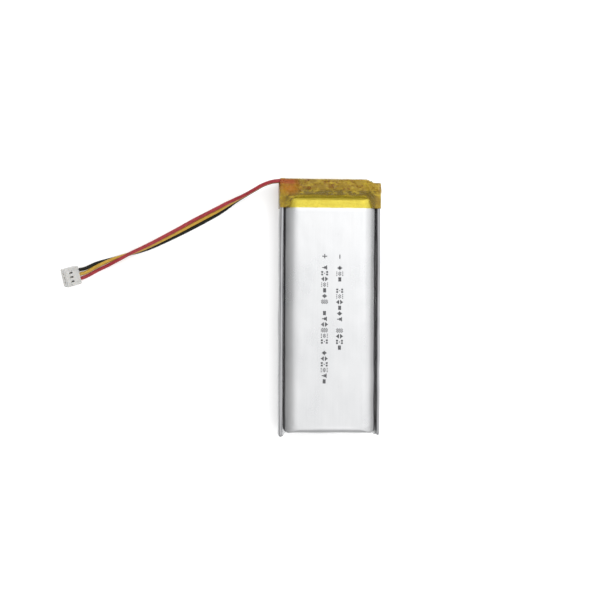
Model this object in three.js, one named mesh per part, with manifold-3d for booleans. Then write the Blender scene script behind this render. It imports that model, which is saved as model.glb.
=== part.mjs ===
// Lithium pouch cell with its protection circuit and three-wire lead, in millimetres.
// The cell lies on its back: +Z is its thickness, +Y points to the tab end (the head), X is its width.
// The origin is under the middle of the cell, on the surface that it lies on.
import * as THREE from "three";
import { mergeVertices } from "three/addons/utils/BufferGeometryUtils.js";
import Module from "manifold-3d";

const wasm = await Module();
wasm.setup();

// ---- Driving dimensions ----

// Pouch: two drawn cups of laminate film, sealed to each other along the middle plane
const cellThickness = 9.9;
const cupWidth = 26.2;
const cupLength = 67;
const filmThickness = 0.15;
const plyGap = 0.03;
const shoulderWidth = 3.2;
const shoulderHeight = 2.6;
const endRadius = 1.3;
const cornerRadius = 1.5;
const headZoneLength = 2.9;
const headSink = 0.12;
const headStepLength = 0.3;

// Side seals: the flange is folded double and stands up beside the front cup
const foldHeight = 3.75;
const foldSlit = 0.4;
const rawEdgeLift = 0.3;
const earLength = 1.1;
const cornerWeb = 1.3;
const foldStopShort = 2.2;

// Terrace: the top seal in front of the cups, with a bulge over each tab
const terraceLength = 4.3;
const terraceCorner = 1.2;

// Electrode roll: four strips wound flat around an open core
const electrodeThickness = 0.25;
const separatorThickness = 0.08;
const rollGap = 0.05;
const rollTurns = 3;
const rollSideClearance = 0.6;
const rollFaceClearance = 0.25;
const rollFootClearance = 0.2;
const rollHeadClearance = 2.6;
const separatorOverhang = 0.7;
const cathodeMargin = 0.5;
const rollTapeWidth = 14;
const rollTapeLength = 46;
const rollTapeThickness = 0.06;

// Tabs: thin strips from the core of the roll through the top seal, folded back under the circuit board
const tabWidth = 3;
const tabThickness = 0.12;
const tabFromSide = 7.6;
const tabInsertion = 22;
const tabFoldRadius = 0.42;
const tabReturnLength = 2.6;
const sealantThickness = 0.06;
const sealantMargin = 0.9;
const sealantInside = 0.6;
const sealantProud = 0.15;
const tabClearance = 0.03;

// Protection circuit: the board leaves room at its left for the wires to gather
const boardLeftRoom = 5.1;
const boardRightRoom = 0.9;
const boardWidth = 3.5;
const boardThickness = 0.8;
const boardPastTerrace = 0.58;
const boardCorner = 0.3;
const viaRadius = 0.25;
const viaInset = 0.6;
const viaPitch = 0.9;
const stripThickness = 0.15;
const stripLength = 3.2;
const stripWidth = 2.6;
const paperThickness = 0.2;
const paperSetback = 0.4;
const stackGap = 0.03;
const padPitch = 1.1;
const padZone = 1.9;
const rowOffset = 0.8;
const mosfet = {
  length: 4.4, width: 3, height: 0.95, leads: 4, pitch: 0.65, span: 6.2, leadWidth: 0.25, alongX: true,
};
const controller = {
  length: 2.9, width: 1.6, height: 1.05, leads: 3, pitch: 0.95, span: 2.8, leadWidth: 0.35, alongX: false,
};
const smallChip = { length: 1.6, width: 0.8, capShare: 0.2, proud: 0.02 };
const resistorHeight = 0.45;
const capacitorHeight = 0.8;
const thermistorHeight = 0.7;
const chipStandoff = 0.1;
const leadThickness = 0.15;
const leadSetback = 0.2;

// Head tape: one wide tape over the head, from the front face round to the back
const tapeThickness = 0.08;
const tapeClearance = 0.02;
const tapeSideClearance = 0.3;
const tapeOntoFace = 2.8;
const tapeHeadRoom = 0.45;
const tapeCorner = 0.35;
const tapeOverStack = 0.2;
const tapeOverFold = 0.23;
const tapeSlopeMargin = 0.3;
const tapeFlap = 0.15;

// Lead tape: a turn of tape round the three wires, one above the other where they leave the head
const leadTapeLength = 1.1;
const leadTapeSetback = 0.47;
const leadTapeInset = 0.27;
const leadTapeDepth = 1.57;
const leadTapeLift = 0.165;
const leadTapeHeight = 3.28;

// Lead: three insulated wires that end in a plug
const wireDiameter = 1;
const wireSides = 8;
const wireSteps = 48;
const strandRadius = 0.26;
const strandLength = 1.5;
const strandStart = 0.3;
const jointGap = 0.05;
const solderWidth = 1.02;
const solderHeight = 0.72;
const solderLength = 1.5;
const solderStart = 0.5;

// Plug: three-way receptacle for pins 1.25 mm apart
const pinPitch = 1.25;
const housingLength = 4.1;
const housingWidth = 5.2;
const housingHeight = 3.2;
const housingEdge = 0.25;
const cavityClearance = 0.04;
const cavityHeight = 1.5;
const cavityMouthWall = 0.7;
const pinHoleSize = 0.6;
const lanceWindowLength = 1.1;
const lanceWindowWidth = 0.5;
const guideRibLength = 2.9;
const guideRibHeight = 0.25;
const guideRibWidth = 0.5;
const terminalClearance = 0.12;
const terminalWall = 0.12;
const terminalLength = 2.7;
const terminalInset = 0.35;
const crimpLength = 1.1;
const crimpedRadius = 0.17;
const neckLength = 0.2;
const plugPlace = new THREE.Vector3(-72.65, 9.05, 0.51);
const plugTurn = { yaw: 198, pitch: -28, roll: -12 };

// The wires run from their solder joints out of the head's left end, down to the surface and to the
// plug. They leave as a stack, lie side by side, and cross over once on the way.
const redRoute = [
  [-8.3, 35.55, 7.16], [-9.8, 35.7, 7.55], [-11.3, 35.88, 7.98], [-12.8, 35.95, 8.07],
  [-14.3, 35.95, 8], [-16.91, 35.61, 7.57], [-19.58, 34.66, 6.59], [-21.99, 33.33, 5.33],
  [-24.43, 32.04, 4.15], [-27.27, 30.76, 3.13], [-29.68, 29.66, 2.53], [-32.06, 28.43, 2.11],
  [-35, 26.91, 1.93], [-38.93, 24.84, 1.81], [-43.36, 22.29, 2.06], [-47.97, 19.72, 2.3],
  [-51.59, 17.77, 2.47], [-54.42, 16.35, 2.63], [-56.95, 15.11, 2.69], [-59.33, 13.78, 2.56],
  [-61.51, 12.6, 2.12], [-63.71, 11.49, 1.46], [-65.98, 10.44, 0.82], [-69.23, 8.65, 0.7],
  [-70.66, 8.06, 1.15], [-71.8, 7.69, 1.78],
];
const yellowRoute = [
  [-8.3, 34.45, 7.16], [-9.8, 34.68, 7.02], [-11.3, 35.33, 6.95], [-12.8, 35.8, 6.95],
  [-14.3, 35.95, 6.93], [-16.6, 35.68, 6.55], [-19.22, 34.82, 5.6], [-21.61, 33.53, 4.35],
  [-24.08, 32.19, 3.15], [-26.94, 30.69, 2.12], [-29.3, 29.28, 1.6], [-31.65, 27.82, 1.33],
  [-34.6, 26.19, 1.24], [-38.52, 24.07, 1.18], [-43.02, 21.61, 1.31], [-47.71, 19.17, 1.43],
  [-51.41, 17.33, 1.51], [-54.34, 16.1, 1.59], [-56.97, 15.13, 1.62], [-59.5, 14.29, 1.63],
  [-61.83, 13.49, 1.58], [-64.16, 12.49, 1.42], [-66.49, 11.37, 1.12], [-69.47, 9.73, 0.91],
  [-70.92, 9.26, 1.38], [-72.06, 8.89, 2.01],
];
const blackRoute = [
  [-8.3, 33.35, 7.16], [-9.8, 33.55, 6.74], [-11.3, 34.5, 6.14], [-12.8, 35.46, 5.88],
  [-14.3, 35.85, 5.82], [-16.29, 35.75, 5.53], [-18.85, 34.98, 4.61], [-21.23, 33.74, 3.37],
  [-23.74, 32.33, 2.15], [-26.6, 30.63, 1.11], [-28.91, 28.91, 0.67], [-31.25, 27.22, 0.55],
  [-34.19, 25.48, 0.55], [-38.11, 23.31, 0.55], [-42.68, 20.94, 0.55], [-47.45, 18.61, 0.55],
  [-51.24, 16.9, 0.55], [-54.26, 15.85, 0.55], [-56.98, 15.14, 0.55], [-59.51, 14.35, 0.56],
  [-61.85, 13.66, 0.55], [-64.29, 12.99, 0.55], [-66.86, 12.2, 0.55], [-69.71, 10.82, 1.12],
  [-71.19, 10.46, 1.6], [-72.32, 10.09, 2.24],
];

// ---- Places worked out from the driving dimensions ----

const halfThickness = cellThickness / 2;
const halfCup = cupWidth / 2;
const tabSpacing = cupWidth - 2 * tabFromSide;
const cavityWidth = wireDiameter + 2 * cavityClearance;
const sealHalf = plyGap / 2;
const flangeTop = sealHalf + filmThickness;
const foldOuter = flangeTop + plyGap + filmThickness;
const foldX = halfCup + foldSlit + foldOuter;
const foldTopCentre = foldHeight - foldOuter;
const headReach = sealantProud + tabFoldRadius + tabThickness / 2 + tapeHeadRoom + tapeThickness;
const overallLength = earLength + cupLength + terraceLength + headReach;
const earEnd = -overallLength / 2;
const cupFoot = earEnd + earLength;
const cupHead = cupFoot + cupLength;
const terraceEnd = cupHead + terraceLength;
const headEnd = overallLength / 2;
const foldEnd = terraceEnd - foldStopShort;
const tabPackHalf = tabThickness / 2 + sealantThickness + 2 * tabClearance;
const bulgeTop = tabPackHalf + filmThickness;
const paperBottom = bulgeTop + stackGap;
const tabFoldCentre = terraceEnd + sealantProud;
const tabReturnZ = 2 * tabFoldRadius;
const stripBottom = tabReturnZ + tabThickness / 2 + stackGap;
const boardBottom = stripBottom + stripThickness + stackGap;
const boardTop = boardBottom + boardThickness;
const boardStart = -halfCup + boardLeftRoom;
const boardEnd = halfCup - boardRightRoom;
const boardY = terraceEnd + boardPastTerrace - boardWidth / 2;
const partsZ = boardTop + stackGap;
const tapeFace = halfThickness - headSink + tapeClearance + tapeThickness;
const tapeHalf = foldX + foldOuter + tapeSideClearance + tapeThickness;
const tapeSide = foldHeight + tapeOverFold;
const leadTapeZ = flangeTop + leadTapeLift;
const tapeEdge = leadTapeZ + leadTapeHeight + tapeOverStack + 2 * tapeThickness;
const sunkShare = 1 - headSink / shoulderHeight;
const sunkEdge = halfCup - shoulderWidth * (1 - Math.sqrt(1 - sunkShare ** 2));
const rollRadius = halfThickness - filmThickness - rollFaceClearance;
const rollHalfStraight = halfCup - filmThickness - rollSideClearance - rollRadius;
const rollPitch = 2 * (electrodeThickness + separatorThickness) + 4 * rollGap;
const rollCore = rollRadius - rollPitch * (rollTurns + 1) + rollGap;
const innerCorner = cornerRadius - filmThickness;
const cornerStart = innerCorner - Math.sqrt(innerCorner ** 2 - (innerCorner - rollSideClearance) ** 2);
const rollFoot = cupFoot + filmThickness + cornerStart + rollFootClearance;
const rollHead = cupHead - filmThickness - rollHeadClearance;

// ---- Materials ----

function surface(colour, roughness, metalness = 0) {
  return new THREE.MeshStandardMaterial({ color: colour, roughness, metalness });
}

const laminate = surface(0xd9d9dc, 0.32, 0.85);
const aluminiumFoil = surface(0xc4c6c9, 0.4, 0.9);
const cathodeCoat = surface(0x2e2f33, 0.85);
const anodeCoat = surface(0x1d1c1e, 0.9);
const separatorFilm = surface(0xf1f1ee, 0.6);
const sealantFilm = surface(0xe9e6da, 0.5);
const nickel = surface(0xb9b4a6, 0.35, 0.9);
const amberTape = surface(0xc48a1f, 0.25);
const greenTape = surface(0x4d8f63, 0.4);
const solderMask = surface(0x1f5a33, 0.4);
const chipEpoxy = surface(0x1c1c1e, 0.55);
const ceramic = surface(0xb59c7c, 0.5);
const resistorBody = surface(0x222224, 0.5);
const fishPaper = surface(0x9db8a2, 0.8);
const solder = surface(0xc7c9cc, 0.3, 0.9);
const copper = surface(0xb87345, 0.35, 0.9);
const tinPlate = surface(0xc9c4b4, 0.3, 0.9);
const nylon = surface(0xeceae2, 0.45);
const redInsulation = surface(0xa8323c, 0.4);
const yellowInsulation = surface(0xc39a33, 0.4);
const blackInsulation = surface(0x17160f, 0.4);

// ---- Solids ----

function toSolid(geometry) {
  const bare = geometry.clone();
  bare.deleteAttribute("normal");
  bare.deleteAttribute("uv");
  const merged = mergeVertices(bare);
  const vertProperties = new Float32Array(merged.attributes.position.array);
  const triVerts = new Uint32Array(merged.index.array);
  return new wasm.Manifold(new wasm.Mesh({ numProp: 3, vertProperties, triVerts }));
}

function toGeometry(solid) {
  const mesh = solid.getMesh();
  const geometry = new THREE.BufferGeometry();
  geometry.setAttribute("position", new THREE.BufferAttribute(mesh.vertProperties, 3));
  geometry.setIndex(new THREE.BufferAttribute(mesh.triVerts, 1));
  geometry.computeVertexNormals();
  return geometry;
}

function join(...geometries) {
  return toGeometry(geometries.map(toSolid).reduce((whole, next) => whole.add(next)));
}

function cut(geometry, ...tools) {
  return toGeometry(tools.map(toSolid).reduce((rest, tool) => rest.subtract(tool), toSolid(geometry)));
}

function common(...geometries) {
  return toGeometry(geometries.map(toSolid).reduce((whole, next) => whole.intersect(next)));
}

// A box given by its lowest and highest x, y and z
function block(x0, x1, y0, y1, z0, z1) {
  const box = new THREE.BoxGeometry(x1 - x0, y1 - y0, z1 - z0);
  return box.translate((x0 + x1) / 2, (y0 + y1) / 2, (z0 + z1) / 2);
}

function outline(points) {
  return new THREE.Shape(points.map(([a, b]) => new THREE.Vector2(a, b)));
}

// Points on a quarter turn or more of an ellipse, angles in degrees
function arc(centreA, centreB, radiusA, radiusB, from, to, steps) {
  return Array.from({ length: steps + 1 }, (_, i) => {
    const angle = THREE.MathUtils.degToRad(from + ((to - from) * i) / steps);
    return [centreA + radiusA * Math.cos(angle), centreB + radiusB * Math.sin(angle)];
  });
}

function extrude(points, depth) {
  return new THREE.ExtrudeGeometry(outline(points), { depth, bevelEnabled: false });
}

// Points are (y, z), swept along x
function prismAlongX(points, x0, x1) {
  const turn = new THREE.Matrix4().makeBasis(
    new THREE.Vector3(0, 1, 0),
    new THREE.Vector3(0, 0, 1),
    new THREE.Vector3(1, 0, 0),
  );
  return extrude(points, x1 - x0).applyMatrix4(turn).translate(x0, 0, 0);
}

// Points are (x, z), swept along y
function prismAlongY(points, y0, y1) {
  return extrude(points, y1 - y0).rotateX(Math.PI / 2).translate(0, y1, 0);
}

// Points are (x, y), swept along z
function prismAlongZ(points, z0, z1) {
  return extrude(points, z1 - z0).translate(0, 0, z0);
}

function roundedRectangle(x0, x1, y0, y1, radius, steps) {
  return [
    ...arc(x1 - radius, y0 + radius, radius, radius, -90, 0, steps),
    ...arc(x1 - radius, y1 - radius, radius, radius, 0, 90, steps),
    ...arc(x0 + radius, y1 - radius, radius, radius, 90, 180, steps),
    ...arc(x0 + radius, y0 + radius, radius, radius, 180, 270, steps),
  ];
}

function part(name, geometry, material) {
  const mesh = new THREE.Mesh(geometry, material);
  mesh.name = name;
  return mesh;
}

function group(...children) {
  const holder = new THREE.Group();
  holder.add(...children);
  return holder;
}

// ---- Pouch, measured from the middle plane ----

const shoulderSteps = 6;
const endSteps = 4;
const cornerSteps = 4;

// Solid shape of one cup, inset from its outer surface; side is 1 for the front and -1 for the back
function cupBlock(side, inset, base) {
  const half = halfCup - inset;
  const top = halfThickness - inset;
  const rise = shoulderHeight - inset;
  const run = shoulderWidth - inset;
  const round = endRadius - inset;
  const foot = cupFoot + inset;
  const head = cupHead - inset;
  const sunk = top - headSink;
  const step = cupHead - headZoneLength;
  const flip = ([a, z]) => [a, side * z];
  const across = [
    [-half, base],
    ...arc(-half + run, top - rise, run, rise, 180, 90, shoulderSteps),
    ...arc(half - run, top - rise, run, rise, 90, 0, shoulderSteps),
    [half, base],
  ];
  const along = [
    [foot, base],
    ...arc(foot + round, top - round, round, round, 180, 90, endSteps),
    [step - headStepLength, top],
    [step, sunk],
    ...arc(head - round, sunk - round, round, round, 90, 0, endSteps),
    [head, base],
  ];
  const plan = roundedRectangle(-half, half, foot, head, cornerRadius - inset, cornerSteps);
  const low = Math.min(side * base, side * top);
  const high = Math.max(side * base, side * top);
  return common(
    prismAlongY(across.map(flip), foot, head),
    prismAlongX(along.map(flip), -half, half),
    prismAlongZ(plan, low, high),
  );
}

// Flat flange around the cup, out to the folds' standing walls at the sides
function flange(side, reach) {
  const web = halfCup - cornerWeb;
  const notch = cupFoot - sealHalf;
  const free = halfCup + terraceCorner / 2;
  const right = [
    [web, notch],
    [halfCup - sealHalf, earEnd],
    [reach, earEnd],
    [reach, foldEnd],
    [free, foldEnd],
    [free, terraceEnd - terraceCorner],
    [free - terraceCorner, terraceEnd],
  ];
  const left = right.map(([x, y]) => [-x, y]).reverse();
  const ends = [side * sealHalf, side * flangeTop];
  return prismAlongZ([...right, ...left], Math.min(...ends), Math.max(...ends));
}

// One ply of a folded side seal: up beside the cup, over the top and down again on the inside
function foldPly(hand, inner, outer, base) {
  const arcSteps = 6;
  const rawEdge = flangeTop + rawEdgeLift;
  const points = [
    [foldX + inner, base],
    [foldX + outer, base],
    ...arc(foldX, foldTopCentre, outer, outer, 0, 180, arcSteps),
    [foldX - outer, rawEdge],
    [foldX - inner, rawEdge],
    ...arc(foldX, foldTopCentre, inner, inner, 180, 0, arcSteps),
  ];
  return prismAlongY(points.map(([x, z]) => [hand * x, z]), earEnd, foldEnd);
}

function tabBulge(side, x) {
  const half = tabWidth / 2 + sealantMargin + filmThickness;
  const ends = [side * sealHalf, side * bulgeTop];
  return block(x - half, x + half, cupHead - endRadius, terraceEnd, Math.min(...ends), Math.max(...ends));
}

function tabPocket(side, x) {
  const half = tabWidth / 2 + sealantMargin;
  const past = 1;
  const ends = [-side * past, side * tabPackHalf];
  const from = cupHead - 2 * endRadius;
  return block(x - half, x + half, from, terraceEnd + past, Math.min(...ends), Math.max(...ends));
}

function pouchFilm(side) {
  const [inner, outer] = side > 0 ? [sealHalf, flangeTop] : [flangeTop + plyGap, foldOuter];
  const base = side > 0 ? sealHalf : -flangeTop;
  const past = 1;
  const tabs = [-tabSpacing / 2, tabSpacing / 2];
  const whole = join(
    cupBlock(side, 0, sealHalf),
    flange(side, foldX + outer),
    foldPly(1, inner, outer, base),
    foldPly(-1, inner, outer, base),
    ...tabs.map((x) => tabBulge(side, x)),
  );
  return cut(whole, cupBlock(side, filmThickness, -past), ...tabs.map((x) => tabPocket(side, x)));
}

function pouch() {
  return group(
    part("pouch_front", pouchFilm(1), laminate),
    part("pouch_back", pouchFilm(-1), laminate),
  );
}

// ---- Electrode roll ----

// Flattened spiral between two radii that grow together, half a pitch per half turn
function woundStrip(start, thickness, foot, head) {
  const halfTurns = rollTurns * 2;
  const arcSteps = 6;
  const edge = (radius) => {
    const points = [];
    for (let turn = 0; turn < halfTurns; turn += 1) {
      for (let i = 0; i <= arcSteps; i += 1) {
        const share = i / arcSteps;
        const angle = Math.PI * (turn + share - 0.5);
        const reach = radius + (rollPitch / 2) * (turn + share);
        const centre = turn % 2 === 0 ? rollHalfStraight : -rollHalfStraight;
        points.push([centre + reach * Math.cos(angle), reach * Math.sin(angle)]);
      }
    }
    return points;
  };
  const points = [...edge(start), ...edge(start + thickness).reverse()];
  return prismAlongY(points, foot, head);
}

function electrodeRoll() {
  const second = rollCore + electrodeThickness + rollGap;
  const third = second + separatorThickness + rollGap;
  const fourth = third + electrodeThickness + rollGap;
  const foot = rollFoot + separatorOverhang;
  const head = rollHead - separatorOverhang;
  const tapeZ = rollRadius + rollGap;
  const tapeOutline = roundedRectangle(
    -rollTapeWidth / 2,
    rollTapeWidth / 2,
    -rollTapeLength / 2,
    rollTapeLength / 2,
    1,
    2,
  );
  return group(
    part("anode_sheet", woundStrip(rollCore, electrodeThickness, foot, head), anodeCoat),
    part("separator_inner", woundStrip(second, separatorThickness, rollFoot, rollHead), separatorFilm),
    part(
      "cathode_sheet",
      woundStrip(third, electrodeThickness, foot + cathodeMargin, head - cathodeMargin),
      cathodeCoat,
    ),
    part("separator_outer", woundStrip(fourth, separatorThickness, rollFoot, rollHead), separatorFilm),
    part("roll_tape", prismAlongZ(tapeOutline, tapeZ, tapeZ + rollTapeThickness), greenTape),
  );
}

// ---- Tabs ----

// Strip through the top seal, folded back over the terrace
function tab(x) {
  const half = tabThickness / 2;
  const arcSteps = 6;
  const back = tabFoldCentre - tabReturnLength;
  const points = [
    [rollHead - tabInsertion, -half],
    ...arc(tabFoldCentre, tabFoldRadius, tabFoldRadius + half, tabFoldRadius + half, -90, 90, arcSteps),
    [back, tabReturnZ + half],
    [back, tabReturnZ - half],
    ...arc(tabFoldCentre, tabFoldRadius, tabFoldRadius - half, tabFoldRadius - half, 90, -90, arcSteps),
    [rollHead - tabInsertion, half],
  ];
  return prismAlongX(points, x - tabWidth / 2, x + tabWidth / 2);
}

function tabSealant(x) {
  const inner = tabThickness / 2 + tabClearance;
  const outer = inner + sealantThickness;
  const halfHole = tabWidth / 2 + tabClearance;
  const half = tabWidth / 2 + sealantMargin - tabClearance;
  const foot = cupHead - sealantInside;
  const end = terraceEnd + sealantProud - tabClearance;
  const past = 1;
  return cut(
    block(x - half, x + half, foot, end, -outer, outer),
    block(x - halfHole, x + halfHole, foot - past, end + past, -inner, inner),
  );
}

function tabs() {
  const plus = -tabSpacing / 2;
  const minus = tabSpacing / 2;
  return group(
    part("positive_tab", tab(plus), aluminiumFoil),
    part("negative_tab", tab(minus), nickel),
    part("positive_tab_seal", tabSealant(plus), sealantFilm),
    part("negative_tab_seal", tabSealant(minus), sealantFilm),
  );
}

// ---- Protection circuit, above the terrace ----

function circuitBoard() {
  const halfWidth = boardWidth / 2;
  const points = roundedRectangle(boardStart, boardEnd, -halfWidth, halfWidth, boardCorner, 2);
  const shape = outline(points);
  for (const x of [boardEnd - viaInset, boardEnd - viaInset - viaPitch]) {
    const hole = new THREE.Path();
    hole.absarc(x, halfWidth - viaInset, viaRadius, 0, 2 * Math.PI, true);
    shape.holes.push(hole);
  }
  const board = new THREE.ExtrudeGeometry(shape, {
    depth: boardThickness,
    bevelEnabled: false,
    curveSegments: 4,
  });
  return board.translate(0, boardY, boardBottom);
}

// Moulded chip with gull-wing leads on two sides, standing on z = 0
function leadedChip({ length, width, height, leads, pitch, span, leadWidth, alongX }) {
  const top = chipStandoff + height;
  const pieces = [block(-length / 2, length / 2, -width / 2, width / 2, chipStandoff, top)];
  const bodyEdge = (alongX ? length : width) / 2;
  const inside = bodyEdge - leadSetback;
  const knee = bodyEdge + leadSetback / 2;
  const heel = bodyEdge + leadSetback;
  const exit = chipStandoff + height / 2;
  const profile = [
    [inside, exit - leadThickness],
    [knee, exit - leadThickness],
    [heel, 0],
    [span / 2, 0],
    [span / 2, leadThickness],
    [heel + leadThickness, leadThickness],
    [knee + leadThickness, exit],
    [inside, exit],
  ];
  for (let i = 0; i < leads; i += 1) {
    const place = (i - (leads - 1) / 2) * pitch;
    for (const hand of [1, -1]) {
      const points = profile.map(([a, z]) => [hand * a, z]);
      const from = place - leadWidth / 2;
      const to = place + leadWidth / 2;
      pieces.push(alongX ? prismAlongY(points, from, to) : prismAlongX(points, from, to));
    }
  }
  return join(...pieces);
}

// Chip resistor, capacitor or thermistor: body with two slightly proud end caps
function endCappedChip(height) {
  const { length, width, capShare, proud } = smallChip;
  const half = length / 2;
  const cap = length * capShare;
  const side = width / 2;
  return join(
    block(-half + cap / 2, half - cap / 2, -side + proud, side - proud, proud, height - proud),
    block(-half, -half + cap, -side, side, 0, height),
    block(half - cap, half, -side, side, 0, height),
  );
}

// Bare strands that stick out of a wire's insulation, along x from its end
function strands() {
  const rod = new THREE.CylinderGeometry(strandRadius, strandRadius, strandLength - jointGap, 8);
  return rod.rotateZ(Math.PI / 2).translate((strandLength + jointGap) / 2, 0, 0);
}

// Half-round bead of solder over the end of the strands, with its flat side down on the pad
function solderBead() {
  const bead = new THREE.SphereGeometry(1, 12, 8);
  bead.scale(solderLength / 2, solderWidth / 2, solderHeight);
  bead.translate(solderStart + solderLength / 2, 0, -strandRadius);
  const past = 2;
  const tunnelRadius = strandRadius + jointGap;
  const tunnelLength = strandLength + jointGap;
  const tunnel = new THREE.CylinderGeometry(tunnelRadius, tunnelRadius, tunnelLength, 8);
  tunnel.rotateZ(Math.PI / 2).translate(tunnelLength / 2, 0, 0);
  const slot = block(0, tunnelLength, -tunnelRadius, tunnelRadius, -past, 0);
  const half = common(bead, block(-past, past + solderLength, -past, past, -strandRadius, past));
  return cut(half, tunnel, slot);
}

function nickelStrip() {
  const radius = 0.3;
  const halfLength = stripLength / 2;
  const halfWidth = stripWidth / 2;
  const points = roundedRectangle(-halfLength, halfLength, -halfWidth, halfWidth, radius, 2);
  return prismAlongZ(points, 0, stripThickness);
}

function placed(mesh, x, y, z) {
  mesh.position.set(x, y, z);
  return mesh;
}

// Middles of parts set in a row with even gaps, between the wires' pads and the board's right end
function rowPlaces(lengths) {
  const total = lengths.reduce((sum, length) => sum + length, 0);
  const start = boardStart + padZone;
  const gap = (boardEnd - start - total) / (lengths.length + 1);
  let edge = start;
  return lengths.map((length) => {
    const middle = edge + gap + length / 2;
    edge += gap + length;
    return middle;
  });
}

function protectionCircuit() {
  const row = [smallChip.length, controller.length, mosfet.span, smallChip.length];
  const [resistorX, controllerX, mosfetX, ceramicX] = rowPlaces(row);
  const high = boardY + rowOffset;
  const low = boardY - rowOffset;
  const thermistorY = boardY + rowOffset / 3;
  const paper = roundedRectangle(boardStart, boardEnd, cupHead + paperSetback, terraceEnd, paperSetback, 2);
  const stripY = tabFoldCentre - tabReturnLength + stripWidth / 2;
  const strandZ = partsZ + strandRadius;
  return group(
    part("circuit_board", circuitBoard(), solderMask),
    placed(part("mosfet_chip", leadedChip(mosfet), chipEpoxy), mosfetX, boardY, partsZ),
    placed(part("protection_chip", leadedChip(controller), chipEpoxy), controllerX, boardY, partsZ),
    placed(part("sense_resistor", endCappedChip(resistorHeight), resistorBody), resistorX, high, partsZ),
    placed(part("supply_resistor", endCappedChip(resistorHeight), resistorBody), resistorX, low, partsZ),
    placed(part("filter_capacitor", endCappedChip(capacitorHeight), ceramic), ceramicX, low, partsZ),
    placed(part("thermistor", endCappedChip(thermistorHeight), ceramic), ceramicX, thermistorY, partsZ),
    placed(part("nickel_strip_positive", nickelStrip(), nickel), -tabSpacing / 2, stripY, stripBottom),
    placed(part("nickel_strip_negative", nickelStrip(), nickel), tabSpacing / 2, stripY, stripBottom),
    part("insulating_paper", prismAlongZ(paper, paperBottom, paperBottom + paperThickness), fishPaper),
    ...Object.entries(wires).flatMap(([name, { seat }]) => {
      const place = [boardStart - strandStart, boardY + seat * padPitch, strandZ];
      return [
        placed(part(`solder_${name}`, solderBead(), solder), ...place),
        placed(part(`strands_${name}`, strands(), copper), ...place),
      ];
    }),
  );
}

// ---- Tapes ----

// Filled outer shape of the head tape, inset from its outer surface
function tapeBlock(inset) {
  const face = tapeFace - inset;
  const edge = tapeEdge - inset;
  const side = tapeSide - inset;
  const half = tapeHalf - inset;
  const end = headEnd - inset;
  const round = tapeCorner - inset;
  const slope = sunkEdge + tapeSlopeMargin;
  const past = inset > 0 ? 1 : 0;
  const foot = cupHead - tapeOntoFace - past;
  const cornerArcSteps = 3;
  const along = [
    [foot, -face],
    [cupHead, -face],
    ...arc(end - round, -edge + round, round, round, -90, 0, cornerArcSteps),
    ...arc(end - round, edge - round, round, round, 0, 90, cornerArcSteps),
    [cupHead, face],
    [foot, face],
  ];
  const across = [
    [-slope, -face],
    [slope, -face],
    [half, -side],
    [half, side],
    [slope, face],
    [-slope, face],
    [-half, side],
    [-half, -side],
  ];
  return common(prismAlongX(along, -half, half), prismAlongY(across, foot, end));
}

// The head tape is open at its left and right ends, with a narrow flap round each
function headTape() {
  const flap = tapeSide - tapeThickness - tapeFlap;
  const inner = tapeHalf - 2 * tapeThickness;
  const end = headEnd - 2 * tapeThickness;
  const past = 1;
  return cut(
    tapeBlock(0),
    tapeBlock(tapeThickness),
    block(inner, tapeHalf + past, cupFoot, end, -flap, flap),
    block(-tapeHalf - past, -inner, cupFoot, end, -flap, flap),
  );
}

function leadTape() {
  const x0 = -tapeHalf + leadTapeSetback;
  const x1 = x0 + leadTapeLength;
  const y1 = headEnd - leadTapeInset;
  const y0 = y1 - leadTapeDepth;
  const z0 = leadTapeZ;
  const z1 = z0 + leadTapeHeight;
  const t = tapeThickness;
  const past = 1;
  return cut(
    block(x0, x1, y0 - t, y1 + t, z0 - t, z1 + t),
    block(x0 - past, x1 + past, y0, y1, z0, z1),
  );
}

function tapes() {
  return group(part("head_tape", headTape(), amberTape), part("lead_tape", leadTape(), amberTape));
}

// ---- Lead and plug ----

const wires = {
  red: { route: redRoute, material: redInsulation, seat: 1 },
  yellow: { route: yellowRoute, material: yellowInsulation, seat: 0 },
  black: { route: blackRoute, material: blackInsulation, seat: -1 },
};

function wire(route) {
  const path = new THREE.CatmullRomCurve3(
    route.map(([x, y, z]) => new THREE.Vector3(x, y, z)),
    false,
    "catmullrom",
    0.5,
  );
  const section = new THREE.Shape();
  const radius = wireDiameter / 2;
  for (let i = 0; i < wireSides; i += 1) {
    const angle = (2 * Math.PI * i) / wireSides;
    section[i === 0 ? "moveTo" : "lineTo"](radius * Math.cos(angle), radius * Math.sin(angle));
  }
  return new THREE.ExtrudeGeometry(section, { steps: wireSteps, bevelEnabled: false, extrudePath: path });
}

function lead() {
  return group(
    ...Object.entries(wires).map(([name, { route, material }]) =>
      part(`wire_${name}`, wire(route), material),
    ),
  );
}

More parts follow.
